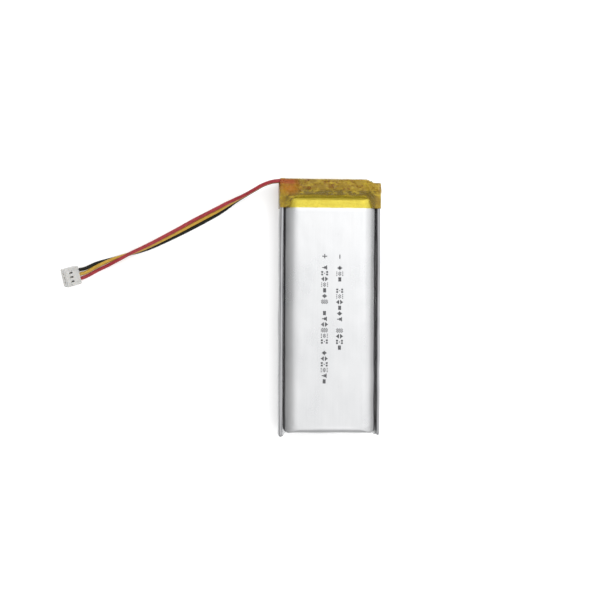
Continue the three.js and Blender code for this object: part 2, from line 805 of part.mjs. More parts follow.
// Receptacle with its rear face at x = 0 and its pins' holes at the far end
function plugHousing() {
  const half = housingWidth / 2;
  const middle = housingHeight / 2;
  const halfCavity = cavityWidth / 2;
  const halfDepth = cavityHeight / 2;
  const halfHole = pinHoleSize / 2;
  const halfWindow = lanceWindowWidth / 2;
  const wall = housingLength - cavityMouthWall;
  const windowStart = wall - lanceWindowLength - cavityMouthWall / 2;
  const windowEnd = windowStart + lanceWindowLength;
  const past = 1;
  const shell = prismAlongX(
    roundedRectangle(-half, half, 0, housingHeight, housingEdge, 2),
    0,
    housingLength,
  );
  const rib = (hand) => {
    const edges = [hand * (half - housingEdge), hand * (half - housingEdge - guideRibWidth)];
    const top = housingHeight + guideRibHeight;
    return block(0, guideRibLength, Math.min(...edges), Math.max(...edges), middle, top);
  };
  const cuts = Object.values(wires).flatMap(({ seat }) => {
    const y = seat * pinPitch;
    return [
      block(-past, wall, y - halfCavity, y + halfCavity, middle - halfDepth, middle + halfDepth),
      block(0, housingLength + past, y - halfHole, y + halfHole, middle - halfHole, middle + halfHole),
      block(windowStart, windowEnd, y - halfWindow, y + halfWindow, middle, housingHeight + past),
    ];
  });
  return cut(join(shell, rib(1), rib(-1)), ...cuts);
}

// Crimp terminal along x: open crimp for the strands, neck, and contact box with a bore for the pin
function crimpTerminal() {
  const half = cavityWidth / 2 - terminalClearance;
  const bore = half - terminalWall;
  const floor = -half;
  const inside = floor + terminalWall;
  const boxStart = crimpLength + neckLength;
  const past = 1;
  const box = cut(
    block(boxStart, terminalLength, -half, half, floor, half),
    block(boxStart - past, terminalLength + past, -bore, bore, inside, bore),
  );
  const crimp = cut(
    block(0, crimpLength, -half, half, floor, bore),
    block(-past, crimpLength + past, -bore, bore, inside, half + past),
  );
  const neck = block(crimpLength - neckLength, boxStart + neckLength, -bore, bore, floor, inside);
  return join(box, crimp, neck);
}

function plug() {
  const middle = housingHeight / 2;
  const crimped = new THREE.CylinderGeometry(crimpedRadius, crimpedRadius, crimpLength, 8);
  crimped.rotateZ(Math.PI / 2).translate(crimpLength / 2, 0, 0);
  const holder = group(
    part("plug_housing", plugHousing(), nylon),
    ...Object.entries(wires).flatMap(([name, { seat }]) => [
      placed(part(`terminal_${name}`, crimpTerminal(), tinPlate), terminalInset, seat * pinPitch, middle),
      placed(part(`plug_strands_${name}`, crimped.clone(), copper), terminalInset, seat * pinPitch, middle),
    ]),
  );
  const turn = ["roll", "pitch", "yaw"].map((key) => THREE.MathUtils.degToRad(plugTurn[key]));
  holder.rotation.set(...turn, "ZYX");
  holder.position.copy(plugPlace);
  return holder;
}

const cell = group(pouch(), electrodeRoll(), tabs(), protectionCircuit(), tapes());
cell.position.z = halfThickness;

const battery = group(cell, lead(), plug());

export default battery;
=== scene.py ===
import math

import bmesh
import bpy
from mathutils import Matrix, Vector, noise
from mathutils.bvhtree import BVHTree


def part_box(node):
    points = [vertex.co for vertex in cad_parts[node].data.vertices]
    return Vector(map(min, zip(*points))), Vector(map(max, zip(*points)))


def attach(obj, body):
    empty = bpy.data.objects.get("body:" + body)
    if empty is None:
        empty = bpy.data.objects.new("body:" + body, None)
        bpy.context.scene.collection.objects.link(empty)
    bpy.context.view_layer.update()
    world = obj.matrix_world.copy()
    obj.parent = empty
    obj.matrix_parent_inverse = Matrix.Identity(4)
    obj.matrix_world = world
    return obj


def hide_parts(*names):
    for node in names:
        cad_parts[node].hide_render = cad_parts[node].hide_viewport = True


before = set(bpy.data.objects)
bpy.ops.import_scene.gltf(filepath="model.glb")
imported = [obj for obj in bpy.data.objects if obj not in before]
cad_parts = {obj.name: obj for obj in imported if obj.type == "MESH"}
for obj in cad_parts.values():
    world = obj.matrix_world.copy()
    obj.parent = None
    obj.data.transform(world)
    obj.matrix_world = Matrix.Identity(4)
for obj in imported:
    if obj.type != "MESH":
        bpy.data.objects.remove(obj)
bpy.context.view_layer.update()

scene = bpy.context.scene
print("frame loaded:", len(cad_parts), "nodes")


# lengths below are written in millimetres and turned into metres here
def mm(*values):
    scaled = [value / 1000 for value in values]
    return scaled[0] if len(scaled) == 1 else Vector(scaled)


def smooth(low, high, value):
    share = min(max((value - low) / (high - low), 0), 1)
    return share * share * (3 - 2 * share)


def mix(a, b, share):
    return a + (b - a) * share


# camera and light

cameraSetup = {
    "eye": (-31.2, 0.0, 350.0),
    "aim": (-8.0, 2.1, 0.0),
    "roll": 0.3,       # degrees
    "lens": 72.4,
}


def placeCamera(setup):
    eye = mm(*setup["eye"])
    back = (eye - mm(*setup["aim"])).normalized()
    up = Matrix.Rotation(math.radians(setup["roll"]), 3, "Z") @ Vector((0, 1, 0))
    right = up.cross(back).normalized()
    turn = Matrix((right, back.cross(right), back)).transposed()
    data = bpy.data.cameras.new("mainCamera")
    data.lens = setup["lens"]
    data.clip_start = 0.01
    camera = bpy.data.objects.new("mainCamera", data)
    scene.collection.objects.link(camera)
    camera.matrix_world = Matrix.Translation(eye) @ turn.to_4x4()
    scene.camera = camera


placeCamera(cameraSetup)

studioSetup = {
    # how bright the air is from the horizon (0) to straight above (1)
    "dome": [
        (0.0, 0.5), (0.4, 0.78), (0.6, 0.86), (0.7, 1.02),
        (0.77, 1.28), (0.87, 1.75), (0.94, 1.9), (1.0, 1.93),
    ],
    "domeTilt": (5, 19),       # degrees towards the head and towards the side away from the lead
    "backdrop": 0.95,          # brightness of the air as the camera sees it
    "lamp": {
        "place": (150, 260, 700),
        "aim": (-10, 0, 0),
        "size": 0.45,          # metres
        "watts": 0.55,
    },
}


# one socket's value, so that shader maths reads as an expression
class Signal:
    def __init__(self, recipe, socket):
        self.recipe = recipe
        self.socket = socket

    def maths(self, operation, first, second):
        return self.recipe.node("Math", {"operation": operation}, {0: first, 1: second})

    def __add__(self, other):
        return self.maths("ADD", self, other)

    def __sub__(self, other):
        return self.maths("SUBTRACT", self, other)

    def __rsub__(self, other):
        return self.maths("SUBTRACT", other, self)

    def __mul__(self, other):
        return self.maths("MULTIPLY", self, other)

    def __gt__(self, other):
        return self.maths("GREATER_THAN", self, other)


# maker of the nodes of one tree
class Nodes:
    def __init__(self, tree, sinkKind):
        self.tree = tree
        self.tree.nodes.clear()
        self.sink = self.tree.nodes.new(sinkKind)

    # type, settings first, then what goes into its sockets
    def node(self, kind, settings=None, sockets=None, out=0):
        made = self.tree.nodes.new("ShaderNode" + kind)
        for key, value in (settings or {}).items():
            if key == "stops":
                self.setStops(made.color_ramp, value)
            else:
                setattr(made, key, value)
        for key, value in (sockets or {}).items():
            if isinstance(value, Signal):
                self.tree.links.new(value.socket, made.inputs[key])
            else:
                made.inputs[key].default_value = value
        return Signal(self, made.outputs[out])

    def setStops(self, ramp, stops):
        while len(ramp.elements) < len(stops):
            ramp.elements.new(0.5)
        for element, (place, colour) in zip(ramp.elements, stops):
            element.position = place
            element.color = (*colour, 1)

    def ramp(self, value, *stops):
        return self.node("ValToRGB", {"stops": stops}, {0: value})


def lightStudio(setup):
    world = bpy.data.worlds.new("studioAir")
    scene.world = world
    world.use_nodes = True
    air = Nodes(world.node_tree, "ShaderNodeOutputWorld")
    forward, sideways = (math.radians(angle) for angle in setup["domeTilt"])
    turned = air.node("Mapping", None, {0: air.node("TexCoord"), 2: (forward, -sideways, 0)})
    height = air.node("SeparateXYZ", None, {0: turned}, out=2)
    brightest = max(level for _, level in setup["dome"])
    stops = [(place, (level / brightest,) * 3) for place, level in setup["dome"]]
    glow = air.node("Background", None, {0: air.ramp(height, *stops), 1: brightest})
    backdrop = air.node("Background", None, {0: (1, 1, 1, 1), 1: setup["backdrop"]})
    seen = air.node("LightPath")
    both = air.node("MixShader", None, {0: seen, 1: glow, 2: backdrop})
    air.tree.links.new(both.socket, air.sink.inputs["Surface"])
    lampSetup = setup["lamp"]
    data = bpy.data.lights.new("softBox", "AREA")
    data.size = lampSetup["size"]
    data.energy = lampSetup["watts"]
    lamp = bpy.data.objects.new("softBox", data)
    scene.collection.objects.link(lamp)
    place = mm(*lampSetup["place"])
    turn = (mm(*lampSetup["aim"]) - place).to_track_quat("-Z", "Y")
    lamp.matrix_world = Matrix.Translation(place) @ turn.to_matrix().to_4x4()
    scene.view_settings.view_transform = "Standard"


lightStudio(studioSetup)
print("camera and light placed")


# materials

class Recipe(Nodes):
    def __init__(self, name):
        self.material = bpy.data.materials.new(name)
        self.material.use_nodes = True
        super().__init__(self.material.node_tree, "ShaderNodeOutputMaterial")

    # object coordinates in millimetres, moved and stretched
    def coords(self, stretch=(1, 1, 1), shift=(0, 0, 0)):
        raw = self.node("TexCoord", out=3)
        scale = [1000 * value for value in stretch]
        place = [-share * value for share, value in zip(stretch, shift)]
        return self.node("Mapping", None, {0: raw, 1: place, 3: scale})

    # one of the three values of a vector
    def axis(self, vector, index):
        return self.node("SeparateXYZ", None, {0: vector}, out=index)

    def unsigned(self, value):
        return self.node("Math", {"operation": "ABSOLUTE"}, {0: value})

    def noise(self, size, detail=3, rough=0.5, stretch=(1, 1, 1), shift=(0, 0, 0)):
        where = self.coords([value / size for value in stretch], shift)
        sockets = {"Vector": where, "Scale": 1, "Detail": detail, "Roughness": rough}
        return self.node("TexNoise", None, sockets)

    def level(self, value, low, high, bottom=0.0, top=1.0):
        return self.node("MapRange", None, {0: value, 1: low, 2: high, 3: bottom, 4: top})

    # from the first colour to the second
    def blend(self, share, *colours):
        first, second = ((*colour, 1) if isinstance(colour, tuple) else colour for colour in colours)
        return self.node("Mix", {"data_type": "RGBA"}, {0: share, 6: first, 7: second}, out=2)

    def bump(self, height, strength, depth):
        sockets = {"Height": height, "Strength": strength, "Distance": mm(depth)}
        return self.node("Bump", None, sockets)

    def surface(self, **sockets):
        named = {key.replace("_", " "): value for key, value in sockets.items()}
        return self.node("BsdfPrincipled", None, named)

    def finish(self, shader):
        self.tree.links.new(shader.socket, self.sink.inputs["Surface"])
        return self.material


def darker(tone, share):
    return tuple(share * value for value in tone)


# nylon-faced aluminium foil: satin silver, rolled along its length, with scuffs and faint dents
def laminateFoil(name, dark, light, shine):
    r = Recipe(name)
    rolled = r.noise(0.35, 4, 0.6, stretch=(1, 0.02, 1))
    cloudy = r.noise(9, 3, 0.55, stretch=(1, 0.6, 1))
    dented = r.noise(3.2, 2, 0.4)
    scuffs = r.level(r.noise(0.5, 5, 0.7, stretch=(1, 0.35, 1)), 0.62, 0.74)
    tone = r.ramp(cloudy * 0.8 + rolled * 0.2, (0.35, dark), (0.65, light))
    colour = r.blend(scuffs * 0.25, tone, darker(dark, 0.8))
    rough = r.level(cloudy, 0.3, 0.7, shine, shine + 0.09) + scuffs * 0.12
    height = dented * 0.7 + rolled * 0.12 + scuffs * 0.1
    return r.finish(r.surface(
        Base_Color=colour, Metallic=0.92, Roughness=rough, Coat_Weight=0.15, Coat_Roughness=0.25,
        Normal=r.bump(height, 0.35, 0.03),
    ))


# what shows through the tape over the head, with painted shade in the dip between cup and board and painted
# highlights on the film's wrinkles, at places measured from the cell's middle
underTape = {
    "board": (31.35, 31.95),       # along: the film leaves the cup and crosses to the board
    "parts": (33.1, 33.6),         # along: the board's parts begin
    "ragged": 0.8,                 # how far those two edges wander
    "besideCup": (9.0, 12.6),      # across: the board's shade comes down beside the cup
    "besideDrop": 7.0,             # how far it comes down there
    "overSeal": (12.4, 13.2),      # across: the film lies on the folded seal
    "leftToRight": (-7, 11),       # across: the board's shade grows lighter
    "patch": (-7.0, 33.7, 0),      # a reddish patch near the wires, in coordinates stretched like it
    "patchStretch": (0.6, 1, 0),
    "patchReach": (2.4, 0.6),
    "patchShare": 0.85,
    "wires": 35.7,                 # along: the wires glow through on their way out
    "wireReach": (0.95, 0.4),
    "wiresFrom": (-8.8, -10.8),
    "wireShare": 0.85,
    # how strongly the painted highlight on the film's wrinkles is laid on
    "foldHighlightShare": 0.8,
    "tones": {
        # painted shade: the dark dip between the cup and the board, tinted by the paper lying in it
        "step": (0.205, 0.14, 0.026),
        "seal": (0.33, 0.215, 0.03),
        "left": (0.30, 0.19, 0.026),
        "right": (0.40, 0.265, 0.03),
        "part": (0.22, 0.085, 0.016),
        # painted highlight: bright yellow where the wrinkled film catches the light
        "foldHighlightTone": (0.62, 0.46, 0.05),
        "patch": (0.46, 0.17, 0.016),
        "wire": (0.36, 0.07, 0.02),
    },
}


# how far each place belongs to the board's zone, and its tone there: the colours of what lies under the
# film, with painted shade in the dip before the board and painted highlights on the wrinkles
def shadeUnderTape(r, s, patches, streaks):
    tones = s["tones"]
    place = r.coords()
    x = r.axis(place, 0)
    y = r.axis(place, 1)
    across = r.unsigned(x)
    beside = r.level(across, *s["besideCup"])
    along = y + beside * beside * beside * s["besideDrop"]
    overBoard = r.level(along + (streaks - 0.5) * s["ragged"], *s["board"])
    overParts = r.level(y + (patches - 0.5) * s["ragged"], *s["parts"])
    hidden = r.level(r.noise(1.5, 3, 0.6, shift=(4, 7, 2)), 0.5, 0.66)
    # random patches of painted highlight, standing in for light on the film's wrinkles
    paintedFoldHighlights = r.level(r.noise(1.1, 4, 0.65, stretch=(0.5, 1, 1), shift=(9, 3, 5)), 0.5, 0.69)
    # painted shade in the dip between cup and board, lighter where the film lies on the seal
    step = r.blend(r.level(across, *s["overSeal"]), tones["step"], tones["seal"])
    board = r.blend(r.level(x, *s["leftToRight"]), tones["left"], tones["right"])
    shade = r.blend(overParts, step, board)
    shade = r.blend(hidden * overParts, shade, tones["part"])
    shade = r.blend(paintedFoldHighlights * s["foldHighlightShare"], shade, tones["foldHighlightTone"])
    around = r.coords(stretch=s["patchStretch"])
    fromPatch = r.node("VectorMath", {"operation": "DISTANCE"}, {0: around, 1: s["patch"]}, out=1)
    shade = r.blend(r.level(fromPatch, *s["patchReach"], 0.0, s["patchShare"]), shade, tones["patch"])
    fromWires = r.unsigned(y - s["wires"])
    wireGlow = r.level(fromWires, *s["wireReach"]) * r.level(x, *s["wiresFrom"])
    return overBoard, r.blend(wireGlow * s["wireShare"], shade, tones["wire"])


# polyimide tape: a clear amber film with a slightly hazy adhesive; doubled is how much of what lies
# under it the film hides where it is wrinkled and doubled over the board
def amberFilm(name, tint, body, haze, doubled=0.0):
    r = Recipe(name)
    patches = r.noise(2.4, 4, 0.6)
    streaks = r.noise(0.6, 3, 0.6, stretch=(0.25, 1, 1))
    bubbles = r.level(r.noise(0.9, 4, 0.65, shift=(3, 1, 0)), 0.56, 0.7)
    cover = r.level(patches, 0.35, 0.7, haze * 0.6, haze * 1.5) + bubbles * haze * 0.5
    colour = r.blend(r.level(streaks, 0.35, 0.65), body, darker(body, 0.72))
    if doubled:
        # over the board the film takes the tones of what lies under it, with painted shade and painted
        # highlights among them
        overBoard, shade = shadeUnderTape(r, underTape, patches, streaks)
        colour = r.blend(overBoard, colour, shade)
        cover = cover + overBoard * r.level(streaks, 0.3, 0.7, doubled * 0.7, doubled)
    rough = r.level(patches, 0.3, 0.7, 0.14, 0.3)
    dent = r.bump(patches * 0.6 + streaks * 0.3 + bubbles * 0.2, 0.5, 0.06)
    film = r.surface(
        Base_Color=colour, Roughness=rough, Normal=dent,
        Specular_IOR_Level=0.13, Coat_Weight=0.06, Coat_Roughness=0.1,
    )
    clear = r.node("BsdfTransparent", None, {"Color": (*tint, 1)})
    return r.finish(r.node("MixShader", None, {0: cover, 1: clear, 2: film}))


# soft insulation with a mottled, faintly streaked skin
def insulation(name, deep, light, gloss):
    r = Recipe(name)
    mottle = r.noise(1.6, 4, 0.6)
    streak = r.noise(0.35, 3, 0.6, stretch=(0.2, 0.6, 1))
    tone = r.ramp(mottle * 0.6 + streak * 0.4, (0.34, deep), (0.66, light))
    grime = r.level(r.noise(3.5, 5, 0.7, shift=(5, 2, 0)), 0.6, 0.78)
    colour = r.blend(grime * 0.35, tone, darker(deep, 0.5))
    dull = r.level(mottle, 0.3, 0.7, 0.28, 0.44) + grime * 0.12
    return r.finish(r.surface(
        Base_Color=colour, Roughness=dull, Specular_IOR_Level=gloss,
        Normal=r.bump(mottle * 0.5 + streak * 0.5, 0.3, 0.02),
    ))


# natural nylon: milky, a little see-through at its edges, with a fine moulded grain
def milkyNylon():
    r = Recipe("milkyNylon")
    grain = r.noise(0.12, 3, 0.6)
    cloud = r.noise(1.8, 3, 0.5)
    colour = r.ramp(cloud, (0.3, (0.43, 0.427, 0.41)), (0.7, (0.55, 0.546, 0.53)))
    return r.finish(r.surface(
        Base_Color=colour, Roughness=r.level(cloud, 0.3, 0.7, 0.36, 0.48),
        Subsurface_Weight=0.3, Subsurface_Radius=(0.0006, 0.0005, 0.0004), Subsurface_Scale=0.5,
        Normal=r.bump(grain, 0.2, 0.02),
    ))


# plated or rolled metal: a base tone, a grain direction and tarnish
def metal(name, tone, tarnish, rough, stretch=(1, 1, 1)):
    r = Recipe(name)
    grain = r.noise(0.25, 4, 0.6, stretch=stretch)
    stain = r.level(r.noise(0.9, 4, 0.6, shift=(2, 4, 1)), 0.45, 0.7)
    colour = r.blend(stain * 0.6, tone, tarnish)
    return r.finish(r.surface(
        Base_Color=colour, Metallic=1.0, Roughness=r.level(grain, 0.3, 0.7, rough - 0.08, rough + 0.1),
        Normal=r.bump(grain, 0.3, 0.02),
    ))


# matt and satin solids: paper, moulded epoxy, ceramics, coatings and films
def plain(name, dark, light, rough, grainSize=0.15, cloudSize=1.5, depth=0.02):
    r = Recipe(name)
    grain = r.noise(grainSize, 4, 0.65)
    cloud = r.noise(cloudSize, 3, 0.55)
    colour = r.ramp(grain * 0.45 + cloud * 0.55, (0.35, dark), (0.65, light))
    return r.finish(r.surface(
        Base_Color=colour, Roughness=r.level(grain, 0.3, 0.7, rough - 0.07, rough + 0.1),
        Normal=r.bump(grain, 0.35, depth),
    ))


# chip part with bright plated ends, which begin halfBody away from its middle along x
def cappedChip(name, middle, halfBody, dark, light):
    r = Recipe(name)
    grain = r.noise(0.12, 4, 0.65)
    ends = r.unsigned(r.axis(r.coords(shift=middle), 0)) > halfBody
    body = r.ramp(grain, (0.35, dark), (0.65, light))
    colour = r.blend(ends, body, (0.72, 0.72, 0.7))
    return r.finish(r.surface(
        Base_Color=colour, Metallic=ends * 0.9, Roughness=r.level(grain, 0.3, 0.7, 0.35, 0.5),
        Normal=r.bump(grain, 0.3, 0.02),
    ))


# green solder mask over copper tracks that run along the board
def boardMask():
    r = Recipe("boardMask")
    tracks = r.node("TexBrick", {"offset": 0.37}, {
        "Vector": r.coords(), "Scale": 1.0, "Mortar Size": 0.12, "Mortar Smooth": 0.1,
        "Brick Width": 2.3, "Row Height": 0.62,
        "Color1": (1, 1, 1, 1), "Color2": (0.8, 0.8, 0.8, 1), "Mortar": (0, 0, 0, 1),
    }, out=1)
    weave = r.noise(0.2, 3, 0.6)
    colour = r.blend(tracks, (0.035, 0.16, 0.075), (0.02, 0.085, 0.04))
    tint = r.blend(r.level(weave, 0.35, 0.65) * 0.3, colour, (0.06, 0.2, 0.1))
    return r.finish(r.surface(
        Base_Color=tint, Roughness=r.level(weave, 0.3, 0.7, 0.28, 0.42), Coat_Weight=0.3,
        Normal=r.bump((1 - tracks) * 0.8 + weave * 0.2, 0.4, 0.03),
    ))


laminate = laminateFoil("laminateFoil", (0.41, 0.414, 0.42), (0.465, 0.467, 0.472), 0.25)
foldedLaminate = laminateFoil("foldedLaminate", (0.27, 0.272, 0.28), (0.37, 0.372, 0.38), 0.38)
tapeFilm = amberFilm("amberTape", (1.0, 0.962, 0.6), (0.9, 0.66, 0.055), 0.1, doubled=0.68)
deepFilm = amberFilm("deepAmberTape", (0.98, 0.84, 0.42), (0.55, 0.27, 0.04), 0.25)
redCover = insulation("redInsulation", (0.21, 0.010, 0.016), (0.36, 0.032, 0.042), 0.3)
yellowCover = insulation("yellowInsulation", (0.38, 0.21, 0.02), (0.54, 0.34, 0.045), 0.3)
blackCover = insulation("blackInsulation", (0.006, 0.006, 0.005), (0.018, 0.018, 0.014), 0.08)
nylon = milkyNylon()
nickel = metal("rolledNickel", (0.66, 0.62, 0.54), (0.45, 0.40, 0.32), 0.3, (1, 0.1, 1))
foil = metal("aluminiumStrip", (0.78, 0.79, 0.8), (0.6, 0.6, 0.6), 0.35, (1, 0.1, 1))
tin = metal("tinPlate", (0.75, 0.73, 0.68), (0.5, 0.46, 0.38), 0.3)
copper = metal("copperStrands", (0.72, 0.36, 0.2), (0.4, 0.2, 0.1), 0.35, (0.15, 1, 1))
solder = metal("solderAlloy", (0.7, 0.71, 0.72), (0.42, 0.42, 0.4), 0.25)
print("materials mixed")


# helpers for pieces

# a mesh made an object with its material, and put into the frame
def addPiece(name, bm, material, replaced=(), smoothShade=True):
    bmesh.ops.recalc_face_normals(bm, faces=bm.faces)
    mesh = bpy.data.meshes.new(name)
    bm.to_mesh(mesh)
    bm.free()
    piece = bpy.data.objects.new(name, mesh)
    scene.collection.objects.link(piece)
    mesh.materials.append(material)
    if smoothShade:
        mesh.shade_smooth()
    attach(piece, "root")
    if replaced:
        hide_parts(*replaced)
    return piece


def addModifier(piece, kind, **settings):
    modifier = piece.modifiers.new(kind.title(), kind)
    for key, value in settings.items():
        setattr(modifier, key, value)


# turn a sheet over if the faces picked by their middles look the wrong way along an axis
def lookOut(piece, axis, hand, picked):
    way = sum(face.normal[axis] * face.area for face in piece.data.polygons if picked(face.center))
    if way * hand < 0:
        piece.data.flip_normals()


# a smooth, uneven rise and fall around nought, with one swell in each size
def wave(x, y, z, size, seed):
    place = Vector((x / size + seed, y / size, z / size))
    return noise.noise(place)


# the three wires

wireSetup = {
    "diameter": 1.0,
    "stepsPerSpan": 7,
    "roundness": 5,
    "leavesAt": 4,        # the route's point at the end of the tape, where the wire comes free
}

redRoute = [
    (-8.3, 35.55, 7.16), (-9.8, 35.7, 7.55), (-11.3, 35.88, 7.98), (-12.8, 35.95, 8.07),
    (-14.3, 35.95, 8), (-16.91, 35.61, 7.57), (-19.58, 34.66, 6.59), (-21.99, 33.33, 5.33),
    (-24.43, 32.04, 4.15), (-27.27, 30.76, 3.13), (-29.68, 29.66, 2.53), (-32.06, 28.43, 2.11),
    (-35, 26.91, 1.93), (-38.93, 24.84, 1.81), (-43.36, 22.29, 2.06), (-47.97, 19.72, 2.3),
    (-51.59, 17.77, 2.47), (-54.42, 16.35, 2.63), (-56.95, 15.11, 2.69), (-59.33, 13.78, 2.56),
    (-61.51, 12.6, 2.12), (-63.71, 11.49, 1.46), (-65.98, 10.44, 0.82), (-69.23, 8.65, 0.7),
    (-70.66, 8.06, 1.15), (-71.8, 7.69, 1.78),
]
yellowRoute = [
    (-8.3, 34.45, 7.16), (-9.8, 34.68, 7.02), (-11.3, 35.33, 6.95), (-12.8, 35.8, 6.95),
    (-14.3, 35.95, 6.93), (-16.6, 35.68, 6.55), (-19.22, 34.82, 5.6), (-21.61, 33.53, 4.35),
    (-24.08, 32.19, 3.15), (-26.94, 30.69, 2.12), (-29.3, 29.28, 1.6), (-31.65, 27.82, 1.33),
    (-34.6, 26.19, 1.24), (-38.52, 24.07, 1.18), (-43.02, 21.61, 1.31), (-47.71, 19.17, 1.43),
    (-51.41, 17.33, 1.51), (-54.34, 16.1, 1.59), (-56.97, 15.13, 1.62), (-59.5, 14.29, 1.63),
    (-61.83, 13.49, 1.58), (-64.16, 12.49, 1.42), (-66.49, 11.37, 1.12), (-69.47, 9.73, 0.91),
    (-70.92, 9.26, 1.38), (-72.06, 8.89, 2.01),
]
blackRoute = [
    (-8.3, 33.35, 7.16), (-9.8, 33.55, 6.74), (-11.3, 34.5, 6.14), (-12.8, 35.46, 5.88),
    (-14.3, 35.85, 5.82), (-16.29, 35.75, 5.53), (-18.85, 34.98, 4.61), (-21.23, 33.74, 3.37),
    (-23.74, 32.33, 2.15), (-26.6, 30.63, 1.11), (-28.91, 28.91, 0.67), (-31.25, 27.22, 0.55),
    (-34.19, 25.48, 0.55), (-38.11, 23.31, 0.55), (-42.68, 20.94, 0.55), (-47.45, 18.61, 0.55),
    (-51.24, 16.9, 0.55), (-54.26, 15.85, 0.55), (-56.98, 15.14, 0.55), (-59.51, 14.35, 0.56),
    (-61.85, 13.66, 0.55), (-64.29, 12.99, 0.55), (-66.86, 12.2, 0.55), (-69.71, 10.82, 1.12),
    (-71.19, 10.46, 1.6), (-72.32, 10.09, 2.24),
]


# a smooth line through every point of a route
def alongRoute(route, steps):
    points = [mm(*place) for place in route]
    ends = [2 * points[0] - points[1], *points, 2 * points[-1] - points[-2]]
    line = []
    for before, start, stop, after in zip(ends, ends[1:], ends[2:], ends[3:]):
        for step in range(steps):
            t = step / steps
            line.append(0.5 * (
                2 * start + (stop - before) * t
                + (2 * before - 5 * start + 4 * stop - after) * t ** 2
                + (3 * start - before - 3 * stop + after) * t ** 3
            ))
    return [*line, points[-1]]


def layWire(name, route, material, node):
    line = alongRoute(route, wireSetup["stepsPerSpan"])
    curve = bpy.data.curves.new(name, "CURVE")
    curve.dimensions = "3D"
    curve.bevel_depth = mm(wireSetup["diameter"]) / 2
    curve.bevel_resolution = wireSetup["roundness"]
    curve.use_fill_caps = True
    spline = curve.splines.new("POLY")
    spline.points.add(len(line) - 1)
    for point, place in zip(spline.points, line):
        point.co = (*place, 1)
    spline.use_smooth = True
    wire = bpy.data.objects.new(name, curve)
    scene.collection.objects.link(wire)
    curve.materials.append(material)
    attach(wire, "root")
    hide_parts(node)
    leaves = mm(*route[wireSetup["leavesAt"]])
    mm(wireSetup["diameter"])


wireColours = ("red", "yellow", "black")


# plug

plugSetup = {
    "edge": 0.09,
    "segments": 2,
    "merge": 0.002,
    "sameFace": 2.0,     # degrees between triangles that count as one face
    "sharp": 40,         # degrees from which an edge is rounded
}


# the housing with its edges rounded as a moulding's are
def buildPlug(s):
    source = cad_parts["plug_housing"].data
    bm = bmesh.new()
    bm.from_mesh(source)
    bmesh.ops.remove_doubles(bm, verts=bm.verts, dist=mm(s["merge"]))
    bmesh.ops.dissolve_limit(
        bm, angle_limit=math.radians(s["sameFace"]), verts=bm.verts, edges=bm.edges, delimit={"NORMAL"},
    )
    shell = addPiece("plug_shell", bm, nylon, ("plug_housing",), smoothShade=False)
    addModifier(shell, "BEVEL", width=mm(s["edge"]), segments=s["segments"], limit_method="ANGLE",
                angle_limit=math.radians(s["sharp"]), use_clamp_overlap=True, miter_outer="MITER_SHARP")
    return shell


plugShell = buildPlug(plugSetup)

# object, route, material, slot, node it stands for, length in metres
wires = (
    ("lead_red", redRoute, redCover, "red_insulation", "wire_red", 0.0719),
    ("lead_yellow", yellowRoute, yellowCover, "yellow_insulation", "wire_yellow", 0.0716),
    ("lead_black", blackRoute, blackCover, "black_insulation", "wire_black", 0.0721),
)
for name, route, cover, slotName, node, length in wires:
    layWire(name, route, cover, node)
print("plug and wires laid")


# pouch: two drawn cups of film

pouchSetup = {
    "halfWidth": 13.1,
    "foot": -35.68,
    "head": 31.32,
    "middle": 4.95,
    "seam": 0.02,              # half the gap between the two films
    "face": 9.9,
    "shoulder": (3.9, 2.6),    # run across and drop of the rounded long sides
    "endRound": 1.3,
    "corner": 1.5,
    "faceCorner": 1.5,
    "headSink": 0.12,
    "headZone": (28.0, 28.6),
    "film": 0.15,
    "wallRings": 3,
    "shoulderRings": 9,
    "cornerRings": 6,
    "faceColumns": 24,
    "faceRows": 84,
    "pillow": 0.035,
    "crownHalf": 33,
    "ripple": 0.05,
    "rippleMix": (0.6, 0.4, 0.35),     # shares of broad and small ripples, and how far both sink
    "calm": (29.5, 26),        # the face's ripples die down towards the head
    "faceFade": 1.4,           # depth in which the face turns into the wall
    "slack": 0.1,              # how far the walls wander in and out
    "slackIn": 0.02,
    "slackRise": 1.5,
    "endSlack": 1.4,
    "endFrom": 33.3,
    "wallPress": 0.6,
    "wallDent": -0.05,
}

# pressed lines and pulls in a film: start, end, height, width
pouchCreases = [
    ((-12.1, -32.6), (-11.0, -34.6), 0.16, 0.22),
    ((-11.6, -32.0), (-10.5, -34.4), -0.14, 0.25),
    ((-12.5, -33.4), (-11.5, -34.9), -0.12, 0.2),
    ((-2.35, -30.5), (-2.15, -35.0), -0.05, 0.2),
    ((-1.9, -30.0), (-1.7, -34.8), 0.03, 0.3),
    ((1.9, -24.5), (2.6, -29.5), -0.02, 0.5),
    ((-6.0, -34.2), (8.0, -34.4), 0.03, 0.4),
    ((9.6, -34.3), (12.3, -33.0), 0.07, 0.3),
    ((-9.9, -20.0), (-9.7, 18.0), -0.03, 0.8),
    ((9.2, -28.0), (9.4, 24.0), -0.02, 0.9),
]


creaseFade = {
    "reach": 3,           # widths from its line at which a crease is gone
    "start": 0.2,
    "end": 0.25,
    "least": 0.2,
}


def creaseHeight(x, y, creases):
    s = creaseFade
    total = 0
    for (x0, y0), (x1, y1), height, width in creases:
        along = Vector((x1 - x0, y1 - y0))
        away = Vector((x - x0, y - y0))
        share = min(max(away.dot(along) / along.length_squared, 0), 1)
        gap = (away - along * share).length / width
        if gap < s["reach"]:
            ends = smooth(0, s["start"], share) * smooth(0, s["end"], 1 - share)
            total += height * math.exp(-gap * gap) * mix(s["least"], 1, ends)
    return total


